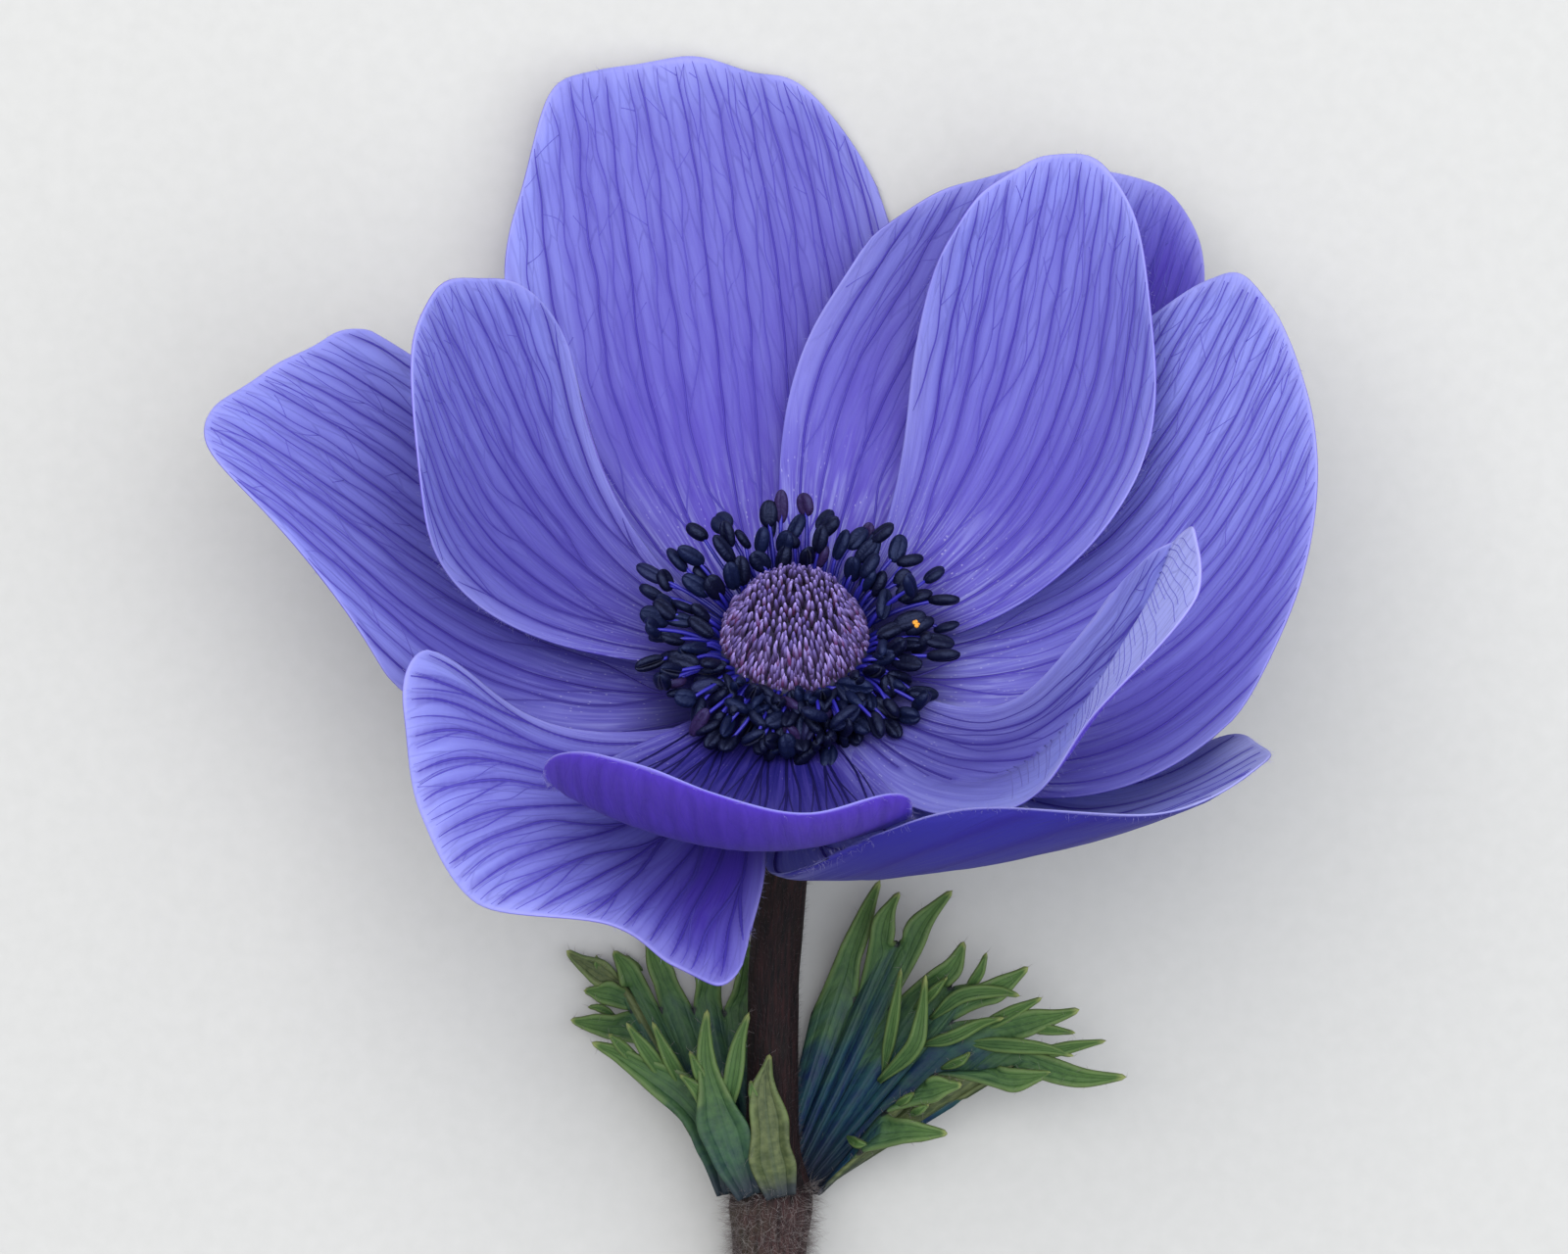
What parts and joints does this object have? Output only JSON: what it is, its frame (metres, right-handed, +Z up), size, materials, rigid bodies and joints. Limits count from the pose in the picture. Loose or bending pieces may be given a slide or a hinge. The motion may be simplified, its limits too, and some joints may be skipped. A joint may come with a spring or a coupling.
{
  "type": "anemone flower",
  "caption": "Picked anemone flower lying down: waved blue-violet petals in two layers, dark stamens round a domed pistil head, cut green bracts and a bare stem.",
  "frame": {"origin": "bottom centre of the box round the lying flower, on the floor", "axes": "+Y along the stem from its cut end towards the flower, +X to the right as seen from above, +Z up from the floor"},
  "size_m": [0.0756, 0.1476, 0.0429],
  "materials": {
    "petal_outer": "matt, veined",
    "petal_inner": "matt, veined",
    "bract": "matt, finely hairy",
    "stem": "matt, woolly",
    "stamen": "satin",
    "pistil": "matt"
  },
  "bodies": {
    "root": {"petal_back": "petal_outer", "petal_back_right": "petal_outer", "petal_right": "petal_outer", "petal_front_right": "petal_outer", "petal_front_left": "petal_outer", "petal_left": "petal_outer", "petal_inner_left": "petal_inner", "petal_inner_right": "petal_inner", "petal_inner_front_right": "petal_inner", "petal_inner_front": "petal_inner", "bract_right": "bract", "bract_back": "bract", "bract_front": "bract", "stem": "stem", "stamens": "stamen", "pistil_head": "pistil"}
  },
  "joints": []
}
